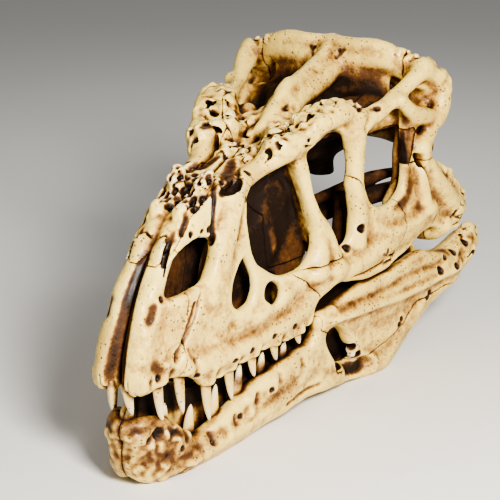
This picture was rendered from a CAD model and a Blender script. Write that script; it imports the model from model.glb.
# %% [markdown]
# # Skull of Tyrannosaurus rex, as a museum shows it
#
# The skull of this animal is about 1.3 m long. Its bones are thick where the bite
# pulled on them and open where it didn't, and age has left brown stain in every
# hollow. A shape like that has no flat face and no straight edge, so it isn't
# built from primitives. It is described as a solid field: a box of numbers which
# say how far each point of space is from the bone. Plates, bars, windows and pits
# are added and taken away there, where any two shapes flow together by themselves,
# and each bone is then skinned as a mesh of its own.

import itertools
import math

import bmesh
import bpy
import numpy as np
from mathutils import Matrix, Vector


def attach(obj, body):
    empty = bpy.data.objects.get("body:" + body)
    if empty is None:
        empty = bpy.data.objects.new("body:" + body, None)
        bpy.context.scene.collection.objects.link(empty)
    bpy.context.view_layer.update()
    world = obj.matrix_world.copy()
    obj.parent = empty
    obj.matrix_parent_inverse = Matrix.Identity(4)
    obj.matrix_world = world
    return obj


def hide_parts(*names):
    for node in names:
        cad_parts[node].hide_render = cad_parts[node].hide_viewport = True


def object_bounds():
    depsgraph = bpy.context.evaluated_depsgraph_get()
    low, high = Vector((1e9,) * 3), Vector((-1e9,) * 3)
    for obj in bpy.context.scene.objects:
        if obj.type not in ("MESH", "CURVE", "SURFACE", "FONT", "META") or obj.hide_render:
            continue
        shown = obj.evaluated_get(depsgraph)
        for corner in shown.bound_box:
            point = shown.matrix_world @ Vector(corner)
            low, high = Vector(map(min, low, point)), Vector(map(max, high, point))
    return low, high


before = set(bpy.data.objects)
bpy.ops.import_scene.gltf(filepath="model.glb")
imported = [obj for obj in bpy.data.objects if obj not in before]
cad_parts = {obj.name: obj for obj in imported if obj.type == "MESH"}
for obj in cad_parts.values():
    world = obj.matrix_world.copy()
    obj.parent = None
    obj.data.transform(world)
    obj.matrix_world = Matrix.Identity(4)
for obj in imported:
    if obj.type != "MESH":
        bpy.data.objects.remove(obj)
CAD_BOX = [list(corner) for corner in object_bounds()]
print("frame:", len(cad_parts), "bones in", [round(v, 3) for v in CAD_BOX[1]])

# %% [markdown]
# ## Frame of the measurements
#
# The skull is measured in the way an anatomist does: x is the distance back from the
# tip of the snout, y the distance to the animal's right, and z the height above the
# floor. The frame has its origin under the middle of the skull, so one shift turns a
# measured x into a placed one. Single sizes are in metres. Tables are in millimetres,
# which are easier to read, and a small function turns them into metres.

# %% Shift and units
SNOUT_FRONT = 0.02650    # measured x of the foremost point of the bone
SHIFT = CAD_BOX[0][0] - SNOUT_FRONT


def mm(table):
    """A table of millimetres in metres, with its words left as they are."""
    if isinstance(table, dict):
        return {name: mm(entry) for name, entry in table.items()}
    if isinstance(table, (list, tuple)):
        return type(table)(mm(entry) for entry in table)
    return table if isinstance(table, str) else table / 1000


def marks(table):
    """The same for a table whose rows start with a share of stain."""
    if isinstance(table, dict):
        return {name: (row[0], *mm(row[1:])) for name, row in table.items()}
    return [(row[0], *mm(row[1:])) for row in table]


print("shift along x:", round(SHIFT, 4))

# %% [markdown]
# ## Camera, floor and light
#
# The skull is seen from its left front and a little from above, with a long lens
# that hardly narrows towards the back. The light is a studio's: one large soft
# panel high on the left, a weaker one in front that fills the windows, and a
# narrow one behind that draws the edge of the crest. They give satin bone long
# soft highlights and leave its hollows dark.

# %% Camera
TARGET = (0.64004 + SHIFT, 0.0, 0.371847)                   # what the camera looks at
AZIMUTH, ELEVATION, ROLL = -1.0641336, 0.364192, -0.011448  # radians
DISTANCE = 3.72132
LENS, SENSOR = 108.04, 36.0                                 # millimetres


def direction(azimuth, elevation):
    """Unit vector from the target to something seen at these angles."""
    flat = math.cos(elevation)
    return Vector((math.sin(azimuth) * flat, -math.cos(azimuth) * flat, math.sin(elevation)))


def facing(position, target, roll=0.0):
    """Matrix of a camera or lamp that looks from a position at a target."""
    back = (Vector(position) - Vector(target)).normalized()
    right = Vector((0, 0, 1)).cross(back).normalized()
    turn = Matrix((right, back.cross(right), back)).transposed()
    return Matrix.Translation(position) @ (turn @ Matrix.Rotation(roll, 3, "Z")).to_4x4()


def add_object(name, data):
    made = bpy.data.objects.new(name, data)
    bpy.context.scene.collection.objects.link(made)
    return made


def make_camera():
    data = bpy.data.cameras.new("camera")
    data.lens = LENS
    data.sensor_width = SENSOR
    camera = add_object("camera", data)
    place = Vector(TARGET) + direction(AZIMUTH, ELEVATION) * DISTANCE
    camera.matrix_world = facing(place, TARGET, ROLL)
    bpy.context.scene.camera = camera


make_camera()
print("camera", DISTANCE, "m away")

# %% Floor and lights
LAMPS = {
    # name: (azimuth, elevation in degrees, distance, size, watts, colour)
    "key": (-40, 34, 3.2, 0.8, 172, (1.0, 0.96, 0.90)),
    "fill": (-110, 22, 4.0, 1.6, 16, (1.0, 0.98, 0.95)),
    "rim": (110, 40, 3.0, 1.0, 10, (1.0, 0.97, 0.93)),
    "top": (0, 88, 3.2, 1.2, 2, (1.0, 0.98, 0.95)),
}
FLOOR_SIZE = 15.0                        # half the side of the floor
FLOOR_COLOUR = (0.78, 0.77, 0.75, 1.0)
FLOOR_ROUGHNESS = 0.75
WORLD_COLOUR = (0.8, 0.8, 0.8, 1.0)
WORLD_STRENGTH = 0.24


def make_floor():
    shape = bmesh.new()
    bmesh.ops.create_grid(shape, x_segments=1, y_segments=1, size=FLOOR_SIZE)
    mesh = bpy.data.meshes.new("floor")
    shape.to_mesh(mesh)
    shape.free()
    floor = add_object("floor", mesh)
    paint = bpy.data.materials.new("floor_paint")
    paint.use_nodes = True
    shader = paint.node_tree.nodes["Principled BSDF"]
    shader.inputs["Base Color"].default_value = FLOOR_COLOUR
    shader.inputs["Roughness"].default_value = FLOOR_ROUGHNESS
    mesh.materials.append(paint)


def make_lamps():
    for name, (azimuth, elevation, distance, size, watts, colour) in LAMPS.items():
        data = bpy.data.lights.new(name, "AREA")
        data.size = size
        data.energy = watts
        data.color = colour
        lamp = add_object(name, data)
        aim = direction(math.radians(azimuth), math.radians(elevation))
        lamp.matrix_world = facing(Vector(TARGET) + aim * distance, TARGET)
    world = bpy.data.worlds.new("studio")
    bpy.context.scene.world = world
    world.use_nodes = True
    background = world.node_tree.nodes["Background"]
    background.inputs["Color"].default_value = WORLD_COLOUR
    background.inputs["Strength"].default_value = WORLD_STRENGTH


make_floor()
make_lamps()
bpy.context.scene.view_settings.look = "AgX - High Contrast"
print("lamps:", ", ".join(LAMPS))

# %% [markdown]
# ## The block of space
#
# The field is held on a grid that covers the right half of the skull, because the
# left half is its mirror image. A step of 3.4 mm is fine enough for the pits that
# are large enough to cast a shadow; smaller grain is left to the materials. Each
# grid point holds its distance to the bone: negative inside, positive outside.

# %% Grid
STEP = 0.0034
GRID_BACK, GRID_SIDE, GRID_LOW, GRID_TOP = 1.372, 0.376, -0.012, 0.840
REACH = 0.060            # distances are held up to here
XS = np.arange(0.0, GRID_BACK, STEP, dtype=np.float32)
YS = (np.arange(int(GRID_SIDE / STEP), dtype=np.float32) + 0.5) * STEP
ZS = np.arange(GRID_LOW, GRID_TOP, STEP, dtype=np.float32)
AXES = (XS, YS, ZS)
SHAPE = tuple(len(axis) for axis in AXES)
print("grid", SHAPE, "points", len(XS) * len(YS) * len(ZS))


def blend(a, b, radius):
    """The nearer of two distances, with a fillet of about this radius between them."""
    overlap = np.maximum(radius - np.abs(a - b), 0.0)
    return np.minimum(a, b) - overlap * overlap / (4 * radius)


def carve(a, b, radius):
    """Distance a with shape b taken away, and the edge rounded."""
    return -blend(-a, b, radius)


def smoothstep(value, low, high):
    """0 below the low value, 1 above the high one, and a soft step between them."""
    t = np.clip((value - low) / (high - low), 0.0, 1.0)
    return t * t * (3.0 - 2.0 * t)


def span(axis, low, high):
    """Slice of the grid points of one axis between two places."""
    return slice(int(np.searchsorted(axis, low)), int(np.searchsorted(axis, high)))


# %% [markdown]
# ## Random relief
#
# Old bone is never smooth: broad swellings, small dents, fibres that run along it.
# Each of these is a field of random numbers on a coarse lattice, made smooth with
# cubic weights. The spacing of the lattice sets the size of the lumps, and it may
# differ along the three axes to draw lumps out into fibres.

# %% Random relief
def cubic_weights(axis, spacing):
    """Matrix that spreads lattice values over one axis of the grid."""
    place = (axis - axis[0]) / spacing
    cell = np.floor(place).astype(int)
    t = place - cell
    rows = np.arange(len(axis))
    weights = np.zeros((len(axis), cell[-1] + 4), np.float32)
    for offset, value in enumerate((
        (1 - t) ** 3 / 6,
        (3 * t**3 - 6 * t**2 + 4) / 6,
        (-3 * t**3 + 3 * t**2 + 3 * t + 1) / 6,
        t**3 / 6,
    )):
        weights[rows, cell + offset] = value
    return weights


def lumps(spacing, seed):
    """Random smooth relief of about -1 to 1 with lumps of this spacing."""
    spacing = spacing if isinstance(spacing, tuple) else (spacing,) * 3
    weights = [cubic_weights(axis, size) for axis, size in zip(AXES, spacing)]
    field = np.random.default_rng(seed).normal(
        size=[matrix.shape[1] for matrix in weights]
    ).astype(np.float32)
    for matrix in weights:
        field = np.tensordot(field, matrix, axes=([0], [1]))
    return field * 2.0


print("relief check", round(float(lumps(0.05, 1).std()), 2))

# %% [markdown]
# ## Bars
#
# Most of the skull is struts: the brow, the bar behind the eye, the arch over the
# temple. A bar is a list of stations, each a place and a radius, with a smooth
# curve through them. It is drawn into the field as a chain of short tapered
# capsules, and blended with what is already there, so that it grows out of its
# neighbours as bone does.

# %% Bars
def curve(a, b, c, d, t):
    """Place at share t of the way from b to c on the smooth curve through all four."""
    return 0.5 * (2 * b + (c - a) * t + (2 * a - 5 * b + 4 * c - d) * t**2
                  + (3 * b - a - 3 * c + d) * t**3)


def flow(stations, spacing=0.012):
    """Points on a smooth curve through the stations, about evenly spaced."""
    points = np.array(stations, float)
    ends = np.vstack([2 * points[0] - points[1], points, 2 * points[-1] - points[-2]])
    path = [points[0]]
    for a, b, c, d in zip(ends, ends[1:], ends[2:], ends[3:]):
        count = max(1, int(np.linalg.norm((c - b)[:-1]) / spacing))
        path += [curve(a, b, c, d, t) for t in np.arange(1, count + 1) / count]
    return np.array(path)


def box_window(low, high):
    """Window of the grid between two corners."""
    return tuple(span(axis, a, b) for axis, a, b in zip(AXES, low, high))


def bar_field(stations, margin):
    """(window of the grid, distance to the bar there)."""
    path = flow(stations)
    reach = path[:, 3].max() + margin
    low, high = path[:, :3].min(axis=0) - reach, path[:, :3].max(axis=0) + reach
    window = box_window(low, high)
    distance = np.full([part.stop - part.start for part in window], REACH, np.float32)
    for a, b in zip(path, path[1:]):
        reach = max(a[3], b[3]) + margin
        low, high = np.minimum(a, b)[:3] - reach, np.maximum(a, b)[:3] + reach
        part = box_window(low, high)
        if any(piece.stop <= piece.start for piece in part):
            continue
        px = (XS[part[0]] - a[0])[:, None, None]
        py = (YS[part[1]] - a[1])[None, :, None]
        pz = (ZS[part[2]] - a[2])[None, None, :]
        dx, dy, dz, dr = (b - a).astype(np.float32)
        length = max(dx * dx + dy * dy + dz * dz, 1e-9)
        t = np.clip((px * dx + py * dy + pz * dz) / length, 0.0, 1.0)
        gap = np.sqrt((px - t * dx) ** 2 + (py - t * dy) ** 2 + (pz - t * dz) ** 2)
        local = tuple(
            slice(piece.start - whole.start, piece.stop - whole.start)
            for piece, whole in zip(part, window)
        )
        distance[local] = np.minimum(distance[local], gap - (a[3] + t * dr))
    return window, distance


def bar_weight(stations, outside, inside):
    """(window, 0 from this far outside a bar to 1 this far inside it)."""
    window, distance = bar_field(stations, outside)
    return window, smoothstep(-distance, -outside, inside)


def add_bars(field, table, radius):
    """Grow every bar of a table out of the field."""
    for stations in table.values():
        window, distance = bar_field(stations, radius + STEP)
        field[window] = blend(field[window], distance, radius)


INK = np.zeros(SHAPE, np.float32)     # stain on the bone at each grid point
INK_SPREAD = 0.006                    # how far stain reaches past the edge of a cut
CUT_MARGIN = 0.004                    # how far past its rounded edge a cut is worked out


def ink(window, amount):
    """Raise the stain in a window of the grid to at least this amount."""
    INK[window] = np.maximum(INK[window], amount)


def cut_bars(field, table, radius):
    """Take every bar of a table of (stain, stations) out of the field."""
    for amount, stations in table.values():
        window, distance = bar_field(stations, radius + CUT_MARGIN)
        field[window] = carve(field[window], distance, radius)
        ink(window, amount * smoothstep(-distance, -INK_SPREAD, 0.0))


# %% [markdown]
# ## Plates
#
# The side of the face is one curved wall with windows in it. Seen from the side it
# has an outline, and at each place in that outline the skull has a half width. The
# wall's distance is found in two steps: how far a point is from the outline, on
# paper, and how far it is from the middle of the wall, across it. Together they
# give a plate with round edges.

# %% Plates
FAR_OFF = 9.0            # more than any distance on paper


def smooth_loop(loop, steps=6):
    """A closed smooth curve through the points of a loop."""
    points = np.array(loop, float)
    before, after = np.roll(points, 1, axis=0), np.roll(points, -1, axis=0)
    beyond = np.roll(points, -2, axis=0)
    rounds = [curve(before, points, after, beyond, t) for t in np.arange(steps) / steps]
    return np.stack(rounds, axis=1).reshape(-1, 2)


def squared_gap(u, v, start, end):
    """Square of the distance on paper to the line between two points."""
    (u0, v0), (u1, v1) = start, end
    du, dv = u1 - u0, v1 - v0
    t = np.clip(((u - u0) * du + (v - v0) * dv) / (du * du + dv * dv + 1e-12), 0, 1)
    return (u - u0 - t * du) ** 2 + (v - v0 - t * dv) ** 2


def outline(loop, upward=ZS):
    """Distance to a closed outline on paper: negative inside it."""
    u, v = XS[:, None], upward[None, :]
    nearest = np.full((len(XS), len(upward)), FAR_OFF, np.float32)
    inside = np.zeros(nearest.shape, bool)
    for (u0, v0), (u1, v1) in zip(loop, np.roll(loop, -1, axis=0)):
        nearest = np.minimum(nearest, squared_gap(u, v, (u0, v0), (u1, v1)))
        if v0 != v1:
            crossed = (v0 <= v) != (v1 <= v)
            inside ^= crossed & (u < u0 + (v - v0) * (u1 - u0) / (v1 - v0))
    nearest = np.sqrt(nearest)
    return np.where(inside, -nearest, nearest)


def rounded(a, b, radius):
    """Distance to where two shapes overlap, with the edge rounded off."""
    p, q = a + radius, b + radius
    return (np.minimum(np.maximum(p, q), 0.0) - radius
            + np.hypot(np.maximum(p, 0.0), np.maximum(q, 0.0)))


def wall(paper, width, thickness, edge):
    """Distance to a curved wall whose outer face lies at the half width."""
    slope = np.hypot(*np.gradient(width, STEP))
    lean = 1.0 / np.sqrt(1.0 + slope**2)
    across = np.abs(YS[None, :, None] - (width - thickness / 2)[:, None, :])
    across = (across - (thickness / 2)) * lean[:, None, :]
    return rounded(paper[:, None, :], across, edge).astype(np.float32)


# %% [markdown]
# ## Measurements of the skull
#
# These tables are the design. An outline is a loop of (distance back, height)
# points which a smooth curve runs through; a bar is a row of (distance back, half
# width, height, radius) stations. They are few and far apart, because the curves
# between them do the rest. Only the right side is listed.

# %% Walls and windows
PLATE = 0.024            # thickness of the side wall of the face
PALATE_PLATE = 0.016     # thickness of the upright plate of the palate
JAW_PLATE = 0.036        # thickness of the side wall of the lower jaw
INNER_WALL = 0.058       # how far inside the jaw's outer face its inner wall stands
INNER_PLATE = 0.014
FOSSA_WALL = 0.070       # the same of the wall behind the windows of the snout
FOSSA_PLATE = 0.014

# Half width of the face: distance back, half width and height at the mouth,
# half width and height at the roof.
FACE_SECTIONS = mm([
    (-50, 40, 160, 26, 300), (0, 48, 160, 30, 340), (100, 78, 170, 46, 470),
    (200, 105, 180, 58, 540), (350, 130, 200, 65, 600), (500, 160, 220, 85, 650),
    (650, 200, 250, 125, 690), (800, 240, 270, 185, 720), (950, 270, 280, 220, 740),
    (1100, 300, 280, 245, 760), (1300, 325, 280, 270, 760),
])
# Half width of the lower jaw: distance back, half width.
JAW_SECTIONS = mm([
    (0, 10), (50, 34), (100, 64), (150, 84), (200, 100), (350, 138), (500, 174), (700, 220),
    (880, 266), (1050, 302), (1150, 322), (1270, 342), (1400, 345),
])
# Line of the skull's roof: distance back, height.
ROOF_LINE = mm([
    (30, 300), (100, 440), (200, 540), (300, 600), (450, 630), (620, 650), (700, 690), (830, 740),
    (1100, 800), (1250, 770),
])
# Outlines are (distance back, height) loops through which a smooth curve runs.
FACE = mm([
    (30, 300), (34, 252), (75, 243), (120, 246), (165, 252), (205, 226), (240, 195), (320, 200),
    (430, 206), (520, 202), (600, 214), (622, 245), (634, 285), (690, 306), (750, 290),
    (820, 276), (900, 278), (990, 294), (1040, 324), (1110, 330), (1180, 295), (1245, 290),
    (1285, 375), (1205, 462), (1095, 545), (1150, 610), (1192, 655), (1165, 722), (1105, 750),
    (1040, 724), (975, 696), (900, 684), (845, 700), (790, 718), (700, 692), (620, 690),
    (540, 640), (400, 616), (300, 588), (215, 540), (140, 465), (80, 385),
])
NARIS = mm([
    (98, 446), (146, 490), (200, 518), (270, 532), (324, 520), (332, 484), (308, 446), (245, 428),
    (160, 428),
])
FRONT_SLIT = mm([
    (412, 448), (370, 405), (350, 362), (372, 334), (412, 338), (430, 372), (430, 410),
])
ROUND_WINDOW = mm([(459, 338), (475, 364), (502, 364), (521, 338), (508, 310), (478, 308)])
FACE_WINDOW = mm([
    (600, 632), (540, 632), (492, 618), (460, 562), (444, 495), (452, 430), (504, 380),
    (560, 366), (612, 380), (646, 420), (656, 482), (652, 535), (642, 596),
])
ORBIT = mm([
    (668, 640), (700, 666), (760, 672), (798, 640), (802, 590), (786, 530), (784, 480),
    (780, 425), (745, 388), (712, 386), (706, 420), (694, 460), (672, 500), (664, 570),
])
CHEEK_WINDOW = mm([
    (838, 600), (850, 638), (890, 656), (940, 670), (985, 686), (1018, 684), (1026, 660),
    (1012, 625), (998, 580), (998, 520), (975, 466), (918, 446), (860, 458), (832, 510),
])
SQUAMOSAL_WINDOW = mm([
    (1046, 690), (1082, 706), (1128, 694), (1140, 672), (1112, 656), (1066, 660),
])
JAW = mm([
    (45, 90), (50, 146), (95, 142), (135, 118), (180, 78), (230, 72), (320, 100), (430, 140),
    (530, 154), (594, 168), (640, 222), (700, 240), (770, 262), (920, 274), (1030, 286),
    (1095, 266), (1165, 240), (1225, 262), (1290, 288), (1335, 265), (1335, 205), (1260, 165),
    (1170, 140), (1075, 110), (975, 45), (900, -6), (830, -6), (740, 14), (600, 30), (460, 16),
    (330, 4), (210, -10), (120, -8), (65, 30),
])
JAW_WINDOW = mm([
    (652, 170), (690, 186), (716, 170), (742, 128), (764, 82), (756, 58), (722, 62), (684, 110),
])
# Inner walls of the lower jaw and of the snout, and the upright plate of the palate.
JAW_INNER = mm([
    (115, 50), (112, 225), (165, 228), (215, 200), (245, 178), (320, 184), (430, 190), (520, 187),
    (590, 196), (640, 262), (690, 300), (740, 292), (800, 284), (960, 288), (1060, 300),
    (1105, 262), (1110, 190), (1010, 100), (900, 30), (700, 34), (450, 34), (200, 24),
])
FOSSA = mm([
    (340, 280), (335, 370), (370, 460), (425, 520), (440, 590), (500, 635), (600, 645),
    (680, 630), (704, 560), (706, 460), (690, 385), (640, 320), (560, 264), (440, 256),
    (365, 262),
])
PALATE = mm([
    (130, 290), (340, 320), (460, 350), (640, 385), (830, 400), (870, 450), (800, 500),
    (722, 530), (700, 600), (640, 640), (500, 625), (330, 600), (230, 545), (150, 450), (95, 350),
])

# %% Bars of the face
# Bars are (distance back, half width, height, radius) stations; one entry is
# one bar of the right side, and the left side is its mirror image.
FACE_BARS = mm({
    "nasal knob front": [(186, 28, 524, 14), (196, 32, 538, 14)],
    "maxilla shelf": [(345, 88, 275, 20), (450, 100, 262, 22), (570, 124, 266, 22),
        (632, 136, 300, 18)],
    "nuchal wall outer foot": [(1130, 110, 680, 22), (1150, 180, 668, 24), (1156, 240, 650, 24)],
    "nuchal wall outer": [(1130, 110, 740, 20), (1150, 180, 712, 22), (1160, 240, 690, 24)],
    "nasal knob back": [(356, 34, 634, 18), (374, 38, 646, 16)],
    "nasal knobs": [(262, 28, 590, 15), (274, 32, 600, 15)],
    "crest knob": [(815, 0, 732, 12), (842, 0, 752, 10), (870, 0, 740, 12)],
    "brow shelf": [(700, 110, 690, 28), (750, 130, 706, 30), (800, 160, 712, 28)],
    "lacrimal block": [(586, 108, 668, 26), (620, 85, 676, 28), (655, 60, 670, 26)],
    "nuchal wall foot": [(1070, 20, 648, 34), (1090, 110, 642, 32), (1120, 190, 630, 32),
        (1145, 240, 612, 28)],
    "nuchal wall middle": [(1072, 0, 726, 28), (1084, 90, 728, 26), (1100, 140, 722, 24)],
    "quadratojugal ridge": [(1058, 280, 560, 14), (1052, 286, 490, 14), (1060, 290, 420, 18),
        (1090, 292, 380, 20)],
    "quadrate wing": [(1060, 236, 640, 24), (1036, 226, 560, 20), (1030, 228, 480, 20),
        (1000, 222, 420, 22)],
    "squamosal lower lip": [(985, 246, 700, 16), (1040, 262, 652, 20), (1110, 276, 628, 22)],
    "squamosal head": [(1110, 250, 758, 24), (1165, 272, 722, 26), (1175, 280, 676, 26),
        (1140, 284, 634, 26), (1096, 276, 596, 26), (1070, 272, 555, 24)],
    "lacrimal foot": [(668, 176, 440, 10), (660, 184, 390, 20), (640, 184, 345, 26)],
    "lacrimal inner edge": [(660, 82, 640, 13), (664, 100, 560, 9), (670, 122, 490, 9),
        (680, 142, 420, 12)],
    "lacrimal web": [(652, 104, 640, 13), (656, 122, 560, 9), (664, 144, 490, 9),
        (684, 160, 420, 12), (690, 172, 350, 20)],
    "premaxilla body": [(66, 34, 268, 34), (78, 32, 330, 34), (104, 29, 400, 32),
        (150, 26, 466, 28), (210, 22, 520, 24), (270, 20, 560, 24)],
    "nasal": [(250, 18, 546, 28), (330, 22, 586, 30), (430, 26, 594, 32), (540, 26, 600, 32),
        (640, 20, 612, 30)],
    "nasal edge": [(290, 48, 560, 22), (400, 58, 590, 24), (520, 72, 614, 24),
        (600, 100, 648, 26)],
    "maxilla ridge": [(110, 58, 300, 22), (230, 100, 255, 22), (400, 128, 245, 20),
        (560, 160, 262, 22), (690, 195, 330, 26)],
    "maxilla ascending ramus": [(290, 85, 400, 22), (350, 82, 490, 22), (420, 76, 580, 22)],
    "lacrimal boss": [(560, 100, 640, 22), (610, 122, 662, 30), (660, 134, 670, 28),
        (700, 144, 672, 20)],
    "lacrimal bar": [(646, 128, 640, 14), (652, 144, 560, 11), (660, 166, 490, 11),
        (690, 184, 430, 13), (700, 194, 380, 18), (700, 196, 335, 26)],
    "brow": [(680, 150, 688, 24), (725, 165, 706, 28), (775, 180, 712, 28), (820, 192, 702, 24)],
    "postorbital bar": [(822, 192, 682, 28), (822, 198, 610, 22), (806, 204, 530, 22),
        (806, 214, 460, 24), (790, 220, 380, 26)],
    "jugal bar": [(690, 194, 328, 26), (780, 218, 330, 30), (880, 238, 345, 32),
        (980, 256, 350, 30), (1080, 272, 370, 26)],
    "temporal bar": [(828, 190, 694, 26), (872, 198, 680, 20), (950, 212, 690, 17),
        (1006, 228, 710, 17), (1055, 246, 738, 19), (1112, 256, 757, 22)],
    "quadratojugal blade": [(1062, 272, 550, 22), (1110, 284, 480, 26), (1175, 296, 405, 30),
        (1235, 304, 345, 30)],
    "frontal edge": [(640, 60, 626, 24), (720, 100, 660, 26), (800, 150, 690, 26)],
    "frontal": [(620, 20, 612, 26), (700, 40, 638, 30), (770, 55, 660, 32)],
    "sagittal crest": [(700, 0, 664, 16), (760, 0, 696, 14), (830, 0, 738, 14), (900, 0, 748, 15),
        (980, 0, 764, 16), (1060, 0, 782, 19), (1105, 0, 800, 19)],
    "crest foot": [(760, 12, 664, 30), (850, 10, 700, 34), (960, 10, 722, 36),
        (1070, 16, 744, 36)],
    "nuchal crest": [(1100, 0, 800, 18), (1090, 70, 806, 17), (1100, 140, 802, 18),
        (1112, 206, 778, 20), (1146, 246, 752, 24)],
    "nuchal wall high": [(1080, 0, 766, 26), (1084, 80, 770, 26), (1104, 160, 764, 26),
        (1132, 222, 730, 28)],
    "nuchal wall low": [(1066, 0, 690, 30), (1080, 95, 690, 28), (1096, 135, 684, 26)],
})

# %% Bars of the inside
INNER_BARS = mm({
    "temporal floor edge": [(830, 110, 660, 26), (900, 140, 640, 26), (1000, 170, 630, 24),
        (1100, 215, 640, 24)],
    "septum fold back": [(610, 30, 640, 16), (612, 44, 580, 18), (616, 40, 520, 14),
        (600, 30, 440, 12)],
    "septum fold middle": [(560, 26, 640, 14), (562, 36, 570, 16), (566, 30, 500, 12),
        (560, 20, 440, 8)],
    "septum folds": [(520, 20, 640, 12), (522, 26, 580, 12), (530, 22, 520, 8)],
    "orbit fold back": [(880, 140, 540, 20), (869, 150, 478, 28), (859, 154, 419, 30),
        (832, 160, 347, 26)],
    "orbit fold front": [(772, 110, 600, 18), (777, 130, 554, 22), (778, 132, 490, 24),
        (779, 136, 420, 20)],
    "temporal floor": [(870, 50, 630, 46), (980, 90, 640, 46), (1080, 150, 645, 42)],
    "braincase": [(800, 0, 600, 40), (880, 22, 590, 50), (980, 30, 580, 58), (1080, 20, 580, 62)],
    "crest root": [(880, 0, 632, 30), (1000, 0, 636, 40), (1090, 0, 650, 45)],
    "basisphenoid": [(960, 20, 540, 45), (985, 24, 490, 34), (985, 30, 450, 26)],
    "condyle": [(1100, 0, 545, 45), (1165, 0, 535, 36), (1190, 0, 530, 28)],
    "paroccipital process": [(1110, 50, 600, 42), (1130, 130, 590, 40), (1150, 210, 560, 36),
        (1165, 240, 530, 28)],
    "laterosphenoid": [(880, 50, 620, 34), (830, 90, 640, 22), (800, 120, 650, 16)],
    "quadrate": [(1135, 238, 600, 22), (1130, 236, 520, 22), (1140, 240, 430, 28),
        (1160, 250, 345, 36)],
    "quadrate foot": [(1160, 215, 312, 34), (1165, 262, 306, 36), (1170, 302, 318, 26)],
    "pterygoid": [(560, 12, 392, 20), (700, 30, 400, 22), (820, 55, 400, 24), (960, 85, 400, 26),
        (1080, 170, 420, 22), (1140, 225, 430, 22)],
    "pterygoid upper edge": [(560, 12, 440, 14), (700, 32, 450, 14), (830, 60, 445, 14),
        (960, 90, 445, 18), (1080, 172, 475, 16), (1130, 225, 480, 18)],
    "ectopterygoid": [(800, 60, 375, 26), (790, 120, 345, 26), (785, 182, 325, 20)],
    "palatine": [(640, 25, 400, 20), (600, 70, 350, 20), (545, 138, 292, 18)],
    "vomer": [(140, 0, 280, 18), (300, 0, 310, 20), (450, 0, 360, 20), (580, 8, 400, 20)],
})

# %% Bars of the lower jaw
JAW_BARS = mm({
    "tooth crust": [(54, 10, 150, 22), (72, 30, 152, 22), (108, 48, 142, 20), (145, 66, 118, 18),
        (180, 82, 90, 16)],
    "chin": [(78, 18, 118, 28), (86, 18, 64, 36), (126, 38, 36, 38), (180, 66, 34, 36)],
    "symphysis": [(90, 0, 104, 26), (115, 0, 62, 34), (165, 18, 44, 30)],
    "lower edge": [(130, 46, 38, 34), (260, 88, 32, 30), (420, 130, 44, 26), (580, 168, 56, 26),
        (740, 206, 46, 24), (870, 238, 26, 26), (960, 258, 80, 24), (1070, 282, 142, 24),
        (1200, 310, 172, 28)],
    "tooth row": [(75, 24, 126, 22), (130, 50, 102, 24), (230, 84, 50, 24), (420, 128, 110, 26),
        (580, 164, 138, 26)],
    "surangular shelf": [(640, 190, 222, 22), (780, 222, 222, 24), (920, 252, 224, 26),
        (1060, 282, 228, 30), (1160, 302, 205, 34)],
    "jaw socket": [(1120, 240, 205, 30), (1170, 262, 200, 36), (1180, 300, 205, 36)],
    "retroarticular knob": [(1210, 305, 215, 42), (1270, 312, 225, 44), (1305, 312, 235, 34)],
})

# %% [markdown]
# ## Rows of teeth
#
# Each side carries three rows: two front teeth in the premaxilla, six in the maxilla
# and seven in the lower jaw. In the front row each crown stands a step further back
# and out than the one before. Along the other two the crowns change size by a rule,
# so first and last values are all that is listed.

# %% Teeth rows
FRONT_TEETH = 2
FRONT_FIRST = (0.044, 0.022, 0.256)
FRONT_STEP = (0.064, 0.036, -0.004)
FRONT_LENGTH = 0.068
FRONT_GROWTH = 0.040     # how much longer the second tooth is
FRONT_RADIUS = 0.0120
MAXILLA_TEETH = 6
MAXILLA_ROW = (0.168, 0.572)
MAXILLA_LENGTHS = (0.108, 0.048)
MAXILLA_RADII = (0.0142, 0.0110)
DENTARY_TEETH = 7
DENTARY_ROW = (0.062, 0.531)
DENTARY_LENGTHS = (0.055, 0.085)
DENTARY_RADII = (0.0170, 0.0130)
DENTARY_INSET = 0.036    # the lower row stands this far inside the jaw's face
UPPER_INSET = 0.002      # the upper row of the maxilla does so by its radius and this
UPPER_SINK, LOWER_SINK = 0.004, 0.010   # the gum line lies this far inside the edge
FRONT_TURN, ROW_TURN = 0.6, 0.25        # how far a crown is turned about its length
TOOTH_CLEARANCE = 0.010  # air between a tip and the jaw that it closes on
TOOTH_HOOK = 0.012       # how far back a tip lies behind its gum
TOOTH_FLATTENING = 0.8   # width of a crown against its length along the row

# %% [markdown]
# ## Sutures
#
# A skull is many bones that meet in wavy seams, and each of them stays a piece of its
# own here. A bone takes what lies inside its region and is left over by the bones
# before it, so regions may overlap and only the seams that show need care. A region
# is a straight-sided loop pushed between two planes: a SIDE loop is (distance back,
# height) between two widths, and a PLAN loop is (distance back, width) between two
# heights. "both" spans the middle plane, and "pair" is cut on the right and mirrored.

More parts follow.
